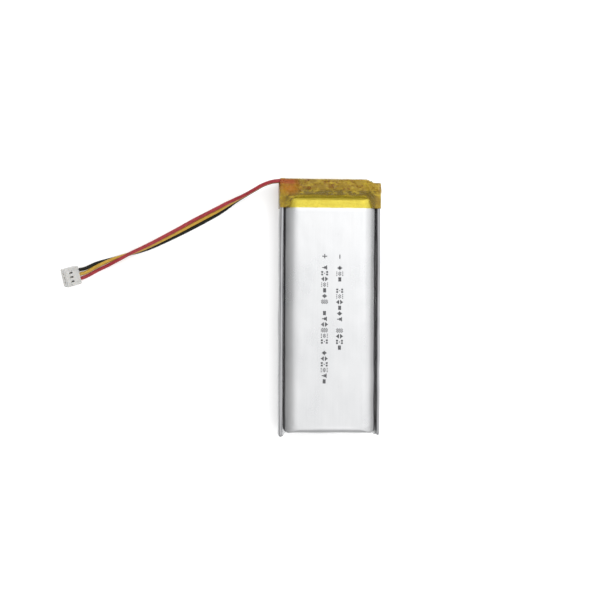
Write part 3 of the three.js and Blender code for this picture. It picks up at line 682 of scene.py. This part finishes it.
# place on one ring of the cup: from side (0) to end (1) round a quarter of its outline
def ringPlace(s, ring, share):
    run, drop = s["shoulder"]
    rings = s["wallRings"] + s["shoulderRings"]
    if ring <= s["wallRings"]:
        lift = ring / s["wallRings"]
        sideIn = endIn = 0
        sideUp = mix(s["middle"] + s["seam"], s["face"] - drop, lift)
        endUp = mix(s["middle"] + s["seam"], s["face"] - s["endRound"], lift)
        corner = s["corner"]
    else:
        turn = min((ring - s["wallRings"]) / s["shoulderRings"], 1) * math.pi / 2
        flat = max(ring - rings, 0) / s["cornerRings"]
        inset = flat * s["faceCorner"]
        sideIn = run * (1 - math.cos(turn)) + inset
        endIn = s["endRound"] * (1 - math.cos(turn)) + inset
        sideUp = s["face"] - drop * (1 - math.sin(turn))
        endUp = s["face"] - s["endRound"] * (1 - math.sin(turn))
        corner = mix(mix(s["corner"], s["faceCorner"], math.sin(turn)), 0, flat)
    halfX = s["halfWidth"] - sideIn
    halfY = (s["head"] - s["foot"]) / 2 - endIn
    return halfX, halfY, corner, mix(sideUp, endUp, share)


# x, y and z of a grid point; column and row are counted from the middle of the cup
def cupPlace(s, column, row, columns, rows):
    ringCount = s["wallRings"] + s["shoulderRings"] + s["cornerRings"]
    fromSide = columns / 2 - abs(column)
    fromEnd = rows / 2 - abs(row)
    ring = min(fromSide, fromEnd, ringCount)
    onSide = fromSide <= fromEnd
    cornerCells = ringCount - ring
    away = (fromEnd if onSide else fromSide) - ring
    handX = 1 if column >= 0 else -1
    handY = 1 if row >= 0 else -1
    if ring < ringCount and away < cornerCells:
        turn = (away / cornerCells) * math.pi / 4      # 0 on the corner's diagonal
        angle = math.pi / 4 - turn if onSide else math.pi / 4 + turn
        halfX, halfY, corner, z = ringPlace(s, ring, smooth(0, math.pi / 2, angle))
        x = halfX - corner + corner * math.cos(angle)
        y = halfY - corner + corner * math.sin(angle)
        return handX * x, handY * y, z
    halfX, halfY, corner, z = ringPlace(s, ring, 0 if onSide else 1)
    straightX = column / (columns / 2 - ringCount) * (halfX - corner)
    straightY = row / (rows / 2 - ringCount) * (halfY - corner)
    if ring == ringCount:
        return straightX, straightY, z
    return (handX * halfX, straightY, z) if onSide else (straightX, handY * halfY, z)


# a cup's own unevenness: crown, ripples and pressed lines on its face, and slack in its walls
def unevenCup(s, side, creases, x, y, z):
    fromMiddle = y - (s["head"] + s["foot"]) / 2
    face = smooth(s["face"] - s["faceFade"], s["face"], z)
    z -= s["headSink"] * smooth(*s["headZone"], y) * smooth(s["middle"], s["face"], z)
    crown = s["pillow"] * ((x / s["halfWidth"]) ** 2 + (fromMiddle / s["crownHalf"]) ** 4)
    broad = wave(x * 1.2, y * 0.35, 0, 5, side * 7)
    small = wave(x, y * 0.6, 0, 2.6, side * 3)
    broadShare, smallShare, sink = s["rippleMix"]
    ripple = s["ripple"] * (broadShare * broad + smallShare * small - sink) * smooth(*s["calm"], y)
    press = creaseHeight(x, y, creases)
    z += face * (ripple - crown + press)
    wall = 1 - face
    wander = s["slack"] * wave(x * 0.5, y * 0.5, z, 3, side * 5) - s["slackIn"]
    slack = smooth(s["middle"], s["middle"] + s["slackRise"], z) * wall * wander
    slack += wall * s["wallPress"] * max(press, s["wallDent"])
    away = Vector((x / s["halfWidth"], fromMiddle / s["endFrom"]))
    if abs(away.x) > abs(away.y):
        x += slack * math.copysign(1, x)
    else:
        y += slack * s["endSlack"] * math.copysign(1, away.y)
    return x, y, min(z, s["face"])


# side is 1 for the front cup and -1 for the back one
def buildCup(s, name, side, creases, replaced):
    rings = s["wallRings"] + s["shoulderRings"] + s["cornerRings"]
    columns = s["faceColumns"] + 2 * rings
    rows = s["faceRows"] + 2 * rings
    bm = bmesh.new()
    bmesh.ops.create_grid(bm, x_segments=columns, y_segments=rows, size=0.5)
    for vert in bm.verts:
        x, y, z = cupPlace(s, round(vert.co.x * columns), round(vert.co.y * rows), columns, rows)
        y += (s["head"] + s["foot"]) / 2
        x, y, z = unevenCup(s, side, creases, x, y, z)
        vert.co = mm(x, y, s["middle"] + side * (z - s["middle"]))
    piece = addPiece(name, bm, laminate, replaced)
    middle = mm(s["middle"])
    nearFace = mm(s["face"] - s["middle"] - s["faceFade"])
    lookOut(piece, 2, side, lambda centre: abs(centre.z - middle) > nearFace)
    addModifier(piece, "SOLIDIFY", thickness=mm(s["film"]), offset=-1)
    return piece


pouchFront = buildCup(pouchSetup, "cup_front", 1, pouchCreases, ("pouch_front",))
buildCup(pouchSetup, "cup_back", -1, pouchCreases[3:5], ("pouch_back",))
print("cups drawn")


# side seals, folded double and standing beside the front cup

sealSetup = {
    "wallIn": 13.0,
    # inner and outer face at the head and further down, for the left and right seal
    "foldIn": {-1: (13.26, 13.36), 1: (13.26, 13.42)},
    "foldOut": {-1: (14.3, 14.4), 1: (14.25, 14.28)},
    "settle": (28, 12),         # between these places the seal takes its lower shape
    "top": (8.72, 8.66),
    "topDrop": 0.8,             # under the tape
    "dropZone": (29.2, 33.4),
    "wander": (0.05, 0.06, 0.09),    # inner face, outer face and top
    "lean": {-1: 0.14, 1: 0.05},
    "base": 4.72,
    "bend": 0.3,
    "rawEdge": 5.4,
    "rawLean": 0.05,
    "plies": 0.24,
    "stations": 150,
    "stationCurve": 1.15,
    "around": 8,
    "wallSteps": 5,
    "foot": {-1: -36.78, 1: -36.3},
    "head": 33.4,
    "earRound": 0.7,
    "earHalf": 0.16,
    "earPinch": 0.8,
    "earDrop": 0.5,
    "outerFace": (14, 6),       # beyond this place and above this height only the outer face lies
}


def sealProfile(s, hand, y):
    settle = smooth(*s["settle"], y)
    wanderIn, wanderOut, wanderTop = s["wander"]
    inner = mix(*s["foldIn"][hand], settle) + wanderIn * wave(y, hand * 9, 0, 4, 8)
    outer = mix(*s["foldOut"][hand], settle) + wanderOut * wave(y, hand * 9, 0, 6, 2)
    top = mix(*s["top"], settle) + wanderTop * wave(y, hand * 5, 0, 7, 4)
    top -= s["topDrop"] * smooth(*s["dropZone"], y)
    end = max(s["foot"][hand] + s["earRound"] - y, 0) / s["earRound"]
    pinch = 1 - math.sqrt(max(1 - end * end, 0))
    middle = (inner + outer) / 2
    inner = mix(inner, middle - s["earHalf"], pinch * s["earPinch"])
    outer = mix(outer, middle + s["earHalf"], pinch * s["earPinch"])
    top -= s["earDrop"] * pinch
    radius = (outer - inner) / 2
    lean = s["lean"][hand] * (1 + wave(y, hand, 0, 9, 1))
    bend = s["bend"]
    points = [(s["wallIn"], s["base"]), (outer - bend, s["base"])]
    for step in range(1, s["around"] // 2 + 1):
        turn = step / (s["around"] // 2) * math.pi / 2
        rise = bend * (1 - math.cos(turn))
        points.append((outer - bend + bend * math.sin(turn) + lean, s["base"] + rise))
    for step in range(1, s["wallSteps"]):
        share = step / s["wallSteps"]
        points.append((outer + lean * (1 - share), mix(s["base"] + bend, top - radius, share)))
    for step in range(s["around"] + 1):
        turn = math.pi * step / s["around"]
        over = radius * math.cos(turn)
        points.append((inner + radius + over, top - radius + radius * math.sin(turn)))
    for step in range(1, s["wallSteps"]):
        share = step / (s["wallSteps"] - 1)
        points.append((inner + s["rawLean"] * share, mix(top - radius, s["rawEdge"], share)))
    return points


# hand is -1 for the left seal and 1 for the right one
def buildSeal(s, hand, name):
    count = len(sealProfile(s, hand, 0)) - 1
    bm = bmesh.new()
    bmesh.ops.create_grid(bm, x_segments=count, y_segments=s["stations"], size=0.5)
    for vert in bm.verts:
        y = mix(s["foot"][hand], s["head"], (vert.co.y + 0.5) ** s["stationCurve"])
        x, z = sealProfile(s, hand, y)[round((vert.co.x + 0.5) * count)]
        vert.co = mm(hand * x, y, z)
    piece = addPiece(name, bm, foldedLaminate)
    beyond, above = (mm(value) for value in s["outerFace"])
    lookOut(piece, 0, hand, lambda centre: centre.z > above and abs(centre.x) > beyond)
    addModifier(piece, "SOLIDIFY", thickness=mm(s["plies"]), offset=-1)


buildSeal(sealSetup, -1, "side_seal_left")
buildSeal(sealSetup, 1, "side_seal_right")


# flat seal between the films: foot corners and the terrace under the board

flangeSetup = {
    "foot": {-1: -36.6, 1: -36.15},
    "underCup": 0.06,           # how far the seal's foot edge lies inside the cup's foot
    "webIn": 11.3,
    "webOut": (12.5, 12.95),
    "webFoot": {-1: -35.9, 1: -35.82},
    "reach": 13.5,
    "head": 35.62,
    "low": 4.8,
    "high": 5.1,
    "slopeStart": 2.2,
    "slopeIn": 0.3,
    "cornerCut": 1.2,
    "edge": 0.05,
    "edgeSegments": 2,
    "bulges": ((-5.5, 2.55), (5.5, 2.55)),    # middle and half width of the swelling over each tab
    "bulgeLength": 4.5,
    "bulgeFromHead": 2.26,
    "bulgeRise": 0.14,
    "bulgeEdge": 0.16,
    "bulgeSegments": 3,
}


# one side's outline from the web at the foot to the head's corner
def flangeSide(s, hand):
    slope = s["reach"] - s["slopeIn"]
    near, far = s["webOut"]
    outline = [
        (s["webIn"], pouchSetup["foot"] + s["underCup"]), (near, s["webFoot"][hand]),
        (far, s["foot"][hand]), (s["reach"], s["foot"][hand]), (s["reach"], s["head"] - s["slopeStart"]),
        (slope, s["head"] - s["cornerCut"]), (slope - s["cornerCut"], s["head"]),
    ]
    return [(hand * x, y) for x, y in outline]


def roundEdges(bm, edges, width, segments):
    bmesh.ops.bevel(
        bm, geom=edges, offset=mm(width), affect="EDGES", segments=segments, profile=0.5, material=-1,
    )


def buildFlange(s):
    bm = bmesh.new()
    corners = [*flangeSide(s, 1), *reversed(flangeSide(s, -1))]
    face = bm.faces.new([bm.verts.new(mm(x, y, s["low"])) for x, y in corners])
    grown = bmesh.ops.extrude_face_region(bm, geom=[face])
    lifted = [item for item in grown["geom"] if isinstance(item, bmesh.types.BMVert)]
    bmesh.ops.translate(bm, verts=lifted, vec=mm(0, 0, s["high"] - s["low"]))
    level = [edge for edge in bm.edges if abs(edge.verts[0].co.z - edge.verts[1].co.z) < mm(0.001)]
    roundEdges(bm, level, s["edge"], s["edgeSegments"])
    for x, half in s["bulges"]:
        box = bmesh.ops.create_cube(bm, size=1)["verts"]
        size = mm(2 * half, s["bulgeLength"], s["high"] - s["low"] + 2 * s["bulgeRise"])
        bmesh.ops.scale(bm, verts=box, vec=size)
        place = mm(x, s["head"] - s["bulgeFromHead"], pouchSetup["middle"])
        bmesh.ops.translate(bm, verts=box, vec=place)
        rims = dict.fromkeys(edge for vert in box for edge in vert.link_edges)
        roundEdges(bm, list(rims), s["bulgeEdge"], s["bulgeSegments"])
    addPiece("seal_flange", bm, laminate, smoothShade=False)


buildFlange(flangeSetup)
print("seals folded")


# head tape: one wide film from the front face round the head to the back face

tapeSetup = {
    "half": 14.38,
    "thickness": 0.05,
    "across": 150,
    "frontSteps": 70,
    "edgeSteps": 34,
    "backSteps": 44,
    "stepCurve": (0.95, 1.05),       # front and back
    "ragged": 0.06,
    "foot": 28.22,
    "face": 9.885,
    "faceEnd": 30.3,                 # where the film leaves the cup
    "shoulderStart": 10.6,
    "shoulderCurve": 0.9,
    "foldTop": 8.86,
    "headTop": 8.45,
    "headCurve": 0.8,
    "heldBySeals": 0.55,             # how much less the film drops along the folded seals
    "sag": 0.42,                     # between the cup and the board
    "sagZone": (30.9, 32.2),
    "sagHead": (36.6, 34.5),
    "sagAcross": (12.5, 9.5),
    "looseZone": (30.6, 32.0),
    "looseSide": 0.35,
    "looseSideZone": (29, 30.5),
    "looseAcross": (10.8, 12.4),
    "ripples": (0.16, 0.09),
    "headEnd": 36.7,
    "headWander": 0.05,
    "headFlat": 1.6,
    "cornerPull": 0.95,              # how far the film is drawn in at the corner away from the wires
    "cornerZone": (10.2, 12.8),
    "round": 0.4,
    "headEase": 0.3,                 # how much slower the film starts and ends its way down
    "backFoot": 28.52,
    "backLow": 0.012,
    "backRise": 0.95,
    "backRiseZone": (30.2, 36.7),
    "backSide": 0.8,                 # up to the folded seals
    "backSideStart": 10.8,
    "backSideCurve": 1.3,
    "backSideZone": (28, 29.5),
    "backMost": 1.3,
    "backLoose": 0.1,
    "backLooseMean": 0.6,
    "backLooseZone": (30.8, 32.5),
    "flap": (1.5, 0.35),             # width along the folds and at the head edge
    "flapZone": (33.2, 35.6),
    "flapFoot": 0.25,
    "flapFootZone": (28.6, 30.2),
    "flapWander": 0.25,
    "edgeFlap": 0.1,
    "backFlap": 0.5,
    "flare": 0.12,                   # how far a flap stands out instead of down
    "headFlare": {-1: 0.075, 1: 0.25},
    "headFlareZone": (32.0, 34.5),
    "flareLift": 0.6,
    "flapSlant": 0.1,
}

# folds and puckers in the film: start, end, height, width
tapeCreases = [
    ((10.2, 35.6), (12.6, 31.0), 0.30, 0.28),
    ((11.2, 33.9), (13.9, 34.6), 0.24, 0.22),
    ((9.6, 32.6), (12.2, 30.6), -0.26, 0.3),
    ((11.6, 35.2), (14.2, 33.0), -0.2, 0.26),
    ((12.4, 32.5), (14.2, 30.6), 0.2, 0.3),
    ((-13.6, 33.5), (-9.5, 32.6), 0.16, 0.3),
    ((-12.9, 31.0), (-11.0, 33.6), -0.22, 0.4),
    ((-10.4, 36.2), (-8.8, 32.2), -0.2, 0.35),
    ((-6.6, 36.3), (-5.8, 32.4), 0.1, 0.3),
    ((-3.3, 36.4), (-2.6, 33.8), -0.16, 0.3),
    ((-0.4, 36.4), (0.8, 33.6), 0.12, 0.3),
    ((2.8, 36.5), (3.4, 34.2), -0.14, 0.25),
    ((7.0, 36.3), (8.6, 33.6), 0.14, 0.3),
    ((-9.0, 33.45), (11.0, 33.2), 0.2, 0.15),
    ((-8.5, 32.0), (9.6, 31.9), -0.18, 0.45),
    ((4.4, 32.6), (9.8, 31.6), -0.12, 0.3),
]

# what the film lies on at the head: left, right, foot, head, height, softness
tapeSupports = [
    (-14.4, -9.5, 34.9, 36.6, 8.72, 0.5),
    (1.9, 7.4, 33.2, 35.8, 8.25, 0.5),
    (-2.4, 0.7, 33.6, 35.4, 8.25, 0.5),
]


# height of the film over the front
def frontFilm(s, x, y):
    side = smooth(s["shoulderStart"], s["half"], abs(x))
    edge = min(max((y - s["faceEnd"]) / (s["headEnd"] - s["faceEnd"]), 0), 1)
    dropAcross = (s["face"] - s["foldTop"]) * side ** s["shoulderCurve"]
    dropAlong = (s["face"] - s["headTop"]) * edge ** s["headCurve"]
    z = s["face"] - dropAcross - dropAlong * (1 - s["heldBySeals"] * side)
    sag = smooth(*s["sagZone"], y) * smooth(*s["sagAcross"], abs(x))
    z -= s["sag"] * sag * smooth(*s["sagHead"], y)
    for left, right, foot, head, height, soft in tapeSupports:
        cover = smooth(left - soft, left, x) * smooth(right + soft, right, x)
        cover *= smooth(foot - soft, foot, y) * smooth(head + soft, head, y)
        z = mix(z, max(z, height), cover)
    looseSide = s["looseSide"] * smooth(*s["looseAcross"], abs(x)) * smooth(*s["looseSideZone"], y)
    loose = min(smooth(*s["looseZone"], y) + looseSide, 1)
    broad, small = s["ripples"]
    ripple = broad * wave(x, y * 1.4, 0, 2.2, 11) + small * wave(x * 1.5, y, 3, 1.0, 4)
    z += loose * (ripple + creaseHeight(x, y, tapeCreases))
    return min(z, s["face"])


# y and z of the film where it turns round the head
def roundHead(s, x, share):
    top = frontFilm(s, x, s["headEnd"] - s["round"])
    low = s["backLow"] + s["backRise"]
    swing = math.sin(math.pi * share)
    bulge = s["headWander"] * (wave(x, 0, share * 9, 2.0, 3) + wave(x * 2, 0, share * 6, 1.2, 8))
    y = s["headEnd"] - s["round"] * (1 - min(swing * s["headFlat"], 1)) + bulge * swing
    return y, mix(top, low, mix(share, smooth(0, 1, share), s["headEase"]))


# height of the film under the back
def backFilm(s, x, y):
    side = smooth(s["backSideStart"], s["half"], abs(x)) ** s["backSideCurve"]
    side *= s["backSide"] * smooth(*s["backSideZone"], y)
    lift = smooth(*s["backRiseZone"], y) * s["backRise"] + side
    ripple = s["backLoose"] * (wave(x, y, 0, 2.4, 9) + s["backLooseMean"])
    return s["backLow"] + min(lift, s["backMost"]) + ripple * smooth(*s["backLooseZone"], y)


# a point of the film: a is measured across it, step runs from the front foot round to the back foot
def tapePlace(s, a, step):
    front, edge, back = s["frontSteps"], s["edgeSteps"], s["backSteps"]
    frontCurve, backCurve = s["stepCurve"]
    over = max(abs(a) - s["half"], 0)
    hand = 1 if a > 0 else -1
    x = hand * min(abs(a), s["half"])
    ragged = s["ragged"] * wave(x * 2, 0, 1, 1.7, 6)
    if step <= front:
        y = mix(s["foot"] + ragged, s["headEnd"] - s["round"], (step / front) ** frontCurve)
        z = frontFilm(s, x, y)
        down = 1
    elif step <= front + edge:
        share = (step - front) / edge
        y, z = roundHead(s, x, share)
        down = math.cos(math.pi * share)
    else:
        share = (step - front - edge) / back
        y = mix(s["headEnd"] - s["round"], s["backFoot"] - ragged, share ** backCurve)
        z = backFilm(s, x, y)
        down = -1
    y -= s["cornerPull"] * smooth(*s["cornerZone"], x) * smooth(s["faceEnd"], s["headEnd"], y)
    if over:
        flare = s["flare"] + s["headFlare"][hand] * smooth(*s["headFlareZone"], y)
        x += hand * over * flare
        z -= down * over * (1 - flare * s["flareLift"])
        y -= s["flapSlant"] * over
    return x, y, z


# how far the film reaches past the folded seal at one step
def flapWidth(s, hand, step):
    if s["frontSteps"] < step <= s["frontSteps"] + s["edgeSteps"]:
        return s["edgeFlap"]
    y = tapePlace(s, 0, step)[1]
    onFront = step <= s["frontSteps"]
    width = mix(*s["flap"], smooth(*s["flapZone"], y)) if onFront else s["backFlap"]
    width *= mix(s["flapFoot"], 1, smooth(*s["flapFootZone"], y))
    return width * (1 + s["flapWander"] * wave(y, hand * 4, 0, 2.3, 5))


def buildHeadTape(s):
    steps = s["frontSteps"] + s["edgeSteps"] + s["backSteps"]
    bm = bmesh.new()
    bmesh.ops.create_grid(bm, x_segments=s["across"], y_segments=steps, size=0.5)
    for vert in bm.verts:
        step = round((vert.co.y + 0.5) * steps)
        hand = math.copysign(1, vert.co.x)
        a = vert.co.x * 2 * (s["half"] + flapWidth(s, hand, step))
        vert.co = mm(*tapePlace(s, a, step))
    piece = addPiece("tape_wrap", bm, tapeFilm, ("head_tape",))
    frontOnly = mm(s["headTop"] - s["sag"])
    lookOut(piece, 2, 1, lambda centre: centre.z > frontOnly)
    addModifier(piece, "SOLIDIFY", thickness=mm(s["thickness"]), offset=-1)


buildHeadTape(tapeSetup)
print("head tape wrapped")


# rows of small dots by a marking machine, from head to foot: the cell's two signs, and plain shapes
# that spell nothing
printSetup = {
    # each line's place across, where it starts along, and its marks
    "lines": ((2.6, 14.85, "- abc dbecaf gedc"), (-1.7, 14.95, "+ fdebcag cfegbd aedbfc")),
    "pitch": 1.61,
    "dotAcross": 0.235,
    "dotAlong": 0.28,
    "rowMiddle": 3,
    "dot": 0.168,
    "dotTop": 0.9,        # share of the dot's width at its top
    "depth": 0.02,
    "proud": 0.012,       # how far the dot's top stands above the foil
    "sides": 8,
    "above": 20,          # height from which the foil's surface is felt for
}

markShapes = {
    "+": "00000 00100 00100 11111 00100 00100 00000",
    "-": "00000 00000 00000 11111 00000 00000 00000",
    "a": "00000 00100 01110 11111 01110 00100 00000",
    "b": "10101 00000 01010 10101 01010 00000 10101",
    "c": "00000 00000 11111 11111 11111 00000 00000",
    "d": "11011 11011 00000 00100 00000 11011 11011",
    "e": "00100 01110 11111 00000 11111 01110 00100",
    "f": "00000 11111 01110 01110 00100 00100 00000",
    "g": "01010 10101 01010 10101 01010 10101 01010",
    " ": "00000 00000 00000 00000 00000 00000 00000",
}


def printMarks(s, ground):
    ink = plain("markInk", (0.02, 0.02, 0.023), (0.06, 0.06, 0.066), 0.5, 0.3, 2.5, 0.005)
    feel = BVHTree.FromObject(ground, bpy.context.evaluated_depsgraph_get())
    down = Vector((0, 0, -1))
    sink = mm(0, 0, s["proud"] - s["depth"] / 2)
    spots = []
    for x, start, marks in s["lines"]:
        for index, mark in enumerate(marks):
            for row, dots in enumerate(markShapes[mark].split()):
                for column, dot in enumerate(dots):
                    if dot == "1":
                        along = start - index * s["pitch"] - column * s["dotAcross"]
                        spots.append((x + (s["rowMiddle"] - row) * s["dotAlong"], along))
    bm = bmesh.new()
    for x, y in spots:
        hit = feel.ray_cast(mm(x, y, s["above"]), down)[0]
        bmesh.ops.create_cone(
            bm, cap_ends=True, segments=s["sides"], radius1=mm(s["dot"]),
            radius2=mm(s["dot"] * s["dotTop"]), depth=mm(s["depth"]), matrix=Matrix.Translation(hit + sink),
        )
    addPiece("printed_marks", bm, ink, smoothShade=False)


printMarks(printSetup, pouchFront)
print("marks printed")


# materials for the parts that keep their shape

def middleOf(node):
    low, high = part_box(node)
    return [1000 * value for value in (low + high) / 2]


chipBlack = plain("mouldedEpoxy", (0.012, 0.012, 0.013), (0.035, 0.035, 0.037), 0.5)
nodeFinishes = {
    "anode_sheet": plain("graphiteCoat", (0.015, 0.015, 0.017), (0.04, 0.04, 0.043), 0.8),
    "cathode_sheet": plain("oxideCoat", (0.03, 0.03, 0.034), (0.07, 0.07, 0.075), 0.75),
    "separator_inner": plain("separatorFilm", (0.78, 0.78, 0.76), (0.9, 0.9, 0.88), 0.5),
    "roll_tape": plain("greenTape", (0.06, 0.26, 0.12), (0.1, 0.36, 0.18), 0.35),
    "positive_tab": foil,
    "negative_tab": nickel,
    "positive_tab_seal": plain("tabSealant", (0.70, 0.67, 0.58), (0.84, 0.82, 0.74), 0.4),
    "circuit_board": boardMask(),
    "mosfet_chip": chipBlack,
    "protection_chip": chipBlack,
    "nickel_strip_positive": nickel,
    "nickel_strip_negative": nickel,
    "insulating_paper": plain("fishPaper", (0.16, 0.2, 0.15), (0.26, 0.3, 0.23), 0.75, 0.1, 1.0),
    "lead_tape": deepFilm,
}
chipHalfBody = 0.48        # half the length between a small chip's plated ends
chipTones = (
    ("sense_resistor", "senseResistor", (0.01, 0.01, 0.011), (0.03, 0.03, 0.03)),
    ("supply_resistor", "supplyResistor", (0.01, 0.01, 0.011), (0.03, 0.03, 0.03)),
    ("filter_capacitor", "filterCapacitor", (0.34, 0.24, 0.15), (0.46, 0.34, 0.23)),
    ("thermistor", "thermistorBody", (0.12, 0.13, 0.14), (0.2, 0.21, 0.22)),
)
for node, name, dark, light in chipTones:
    nodeFinishes[node] = cappedChip(name, middleOf(node), chipHalfBody, dark, light)
nodeFinishes["separator_outer"] = nodeFinishes["separator_inner"]
nodeFinishes["negative_tab_seal"] = nodeFinishes["positive_tab_seal"]
for colour in wireColours:
    nodeFinishes[f"solder_{colour}"] = solder
    nodeFinishes[f"strands_{colour}"] = copper
    nodeFinishes[f"terminal_{colour}"] = tin
    nodeFinishes[f"plug_strands_{colour}"] = copper

for node, finish in nodeFinishes.items():
    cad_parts[node].material_slots[0].material = finish
print("parts finished")


# floor: plain white paper that glows a little, so that shadows stay faint
floorSetup = {
    "size": 3.0,           # metres
    "drop": 0.02,
    "glow": 0.22,
}


def layFloor(s):
    bm = bmesh.new()
    bmesh.ops.create_grid(bm, x_segments=1, y_segments=1, size=s["size"] / 2)
    bmesh.ops.translate(bm, verts=bm.verts, vec=mm(0, 0, -s["drop"]))
    mesh = bpy.data.meshes.new("floor")
    bm.to_mesh(mesh)
    bm.free()
    floor = bpy.data.objects.new("floor", mesh)
    scene.collection.objects.link(floor)
    r = Recipe("paleFloor")
    tone = r.ramp(r.noise(6, 4, 0.6), (0.3, (0.92, 0.92, 0.92)), (0.7, (0.94, 0.94, 0.94)))
    paper = r.surface(
        Base_Color=tone, Roughness=0.9, Emission_Color=(*(s["glow"],) * 3, 1), Emission_Strength=1.0,
    )
    mesh.materials.append(r.finish(paper))


layFloor(floorSetup)

print("done")
